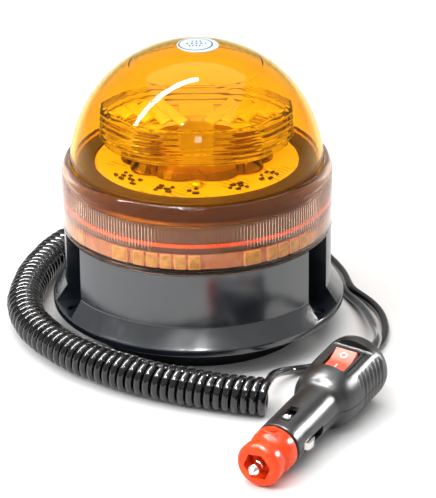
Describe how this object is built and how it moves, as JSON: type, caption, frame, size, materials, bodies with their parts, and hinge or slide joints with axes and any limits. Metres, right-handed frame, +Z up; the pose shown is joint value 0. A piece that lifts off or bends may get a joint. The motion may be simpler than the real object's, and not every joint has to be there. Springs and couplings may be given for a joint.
{
  "type": "led warning beacon with magnetic foot and lighter plug",
  "caption": "Amber dome and ring-lens warning beacon on a black magnetic foot, with a curly lead and a switched lighter plug.",
  "frame": {"origin": "centre of the magnetic foot's underside", "axes": "+Z up through the dome's top, -Y towards the front, +X to the right as seen from the front"},
  "size_m": [0.184, 0.2637, 0.1416],
  "materials": {
    "black_plastic": "fine moulded grain",
    "plug_plastic": "satin moulded",
    "black_rubber": "smooth matte",
    "black_cord_jacket": "glossy polyurethane",
    "amber_dome": "clear moulded",
    "amber_ring": "fluted moulded",
    "clear_optic": "clear ribbed",
    "dark_carrier": "satin",
    "white_board": "solder mask",
    "green_board": "solder mask",
    "red_plastic": "gloss moulded",
    "rocker_red": "gloss moulded",
    "nickel_plate": "bright nickel",
    "zinc_steel": "zinc plated",
    "aluminium_plate": "plain",
    "reflector_silver": "vacuum plated",
    "ferrite": "sintered",
    "white_label": "printed film",
    "fuse_glass": "clear"
  },
  "bodies": {
    "root": {"base_gasket": "black_rubber", "base_housing": "black_plastic", "board_screw_1": "zinc_steel", "board_screw_2": "zinc_steel", "board_screw_3": "zinc_steel", "board_spacer_1": "zinc_steel", "board_spacer_2": "zinc_steel", "board_spacer_3": "zinc_steel", "board_spacer_4": "zinc_steel", "cable_gland": "black_rubber", "curly_lead": "black_cord_jacket", "dome_lens": "amber_dome", "driver_board": "green_board", "drum_screw_1": "zinc_steel", "drum_screw_2": "zinc_steel", "drum_screw_3": "zinc_steel", "heat_spreader": "aluminium_plate", "inner_drum": "dark_carrier", "lamp_tower": "white_board", "lead_to_base": "black_cord_jacket", "lead_to_plug": "black_cord_jacket", "magnet_bolt": "zinc_steel", "magnet_pole_plate": "zinc_steel", "magnet_ring": "ferrite", "magnet_spacer": "zinc_steel", "magnet_washer": "zinc_steel", "main_board": "white_board", "optic_lens": "clear_optic", "optic_pedestal": "clear_optic", "pin_spring": "zinc_steel", "plug_fuse": "fuse_glass", "plug_lower_shell": "plug_plastic", "plug_nose": "red_plastic", "plug_strain_relief": "black_rubber", "plug_upper_shell": "plug_plastic", "reflector_left": "reflector_silver", "reflector_right": "reflector_silver", "ring_led_board": "white_board", "ring_lens": "amber_ring", "rubber_foot": "black_rubber", "switch_frame": "plug_plastic", "top_label": "white_label"},
    "rocker": {"switch_rocker": "rocker_red"},
    "adapter": {"red_adapter": "red_plastic"},
    "centre_pin": {"contact_pin": "nickel_plate"},
    "contact_top": {"side_contact_top": "nickel_plate"},
    "contact_right": {"side_contact_right": "nickel_plate"},
    "contact_left": {"side_contact_left": "nickel_plate"}
  },
  "joints": [
    {"name": "rocker_tilt", "type": "hinge", "parent": "root", "child": "rocker", "pos_m": [0.06319, -0.10226, 0.02296], "axis": [-0.8687, 0.4904, 0.0696], "range_deg": [0, 21]},
    {"name": "adapter_pull", "type": "slide", "parent": "root", "child": "adapter", "axis": [-0.4945, -0.8669, -0.0628], "range_m": [0, 0.022]},
    {"name": "pin_press", "type": "slide", "parent": "root", "child": "centre_pin", "axis": [0.4945, 0.8669, 0.0628], "range_m": [0, 0.004], "stiffness_N_per_m": 600, "springref_m": -0.002, "deforming": ["pin_spring"]},
    {"name": "contact_top_press", "type": "slide", "parent": "root", "child": "contact_top", "axis": [-0.0144, 0.0804, -0.9967], "range_m": [0, 0.0012], "stiffness_N_per_m": 300, "springref_m": -0.002},
    {"name": "contact_right_press", "type": "slide", "parent": "root", "child": "contact_right", "axis": [-0.8659, 0.4851, 0.1216], "range_m": [0, 0.0012], "stiffness_N_per_m": 300, "springref_m": -0.002},
    {"name": "contact_left_press", "type": "slide", "parent": "root", "child": "contact_left", "axis": [0.4979, -0.3417, 0.7971], "range_m": [0, 0.0012], "stiffness_N_per_m": 300, "springref_m": -0.002}
  ]
}
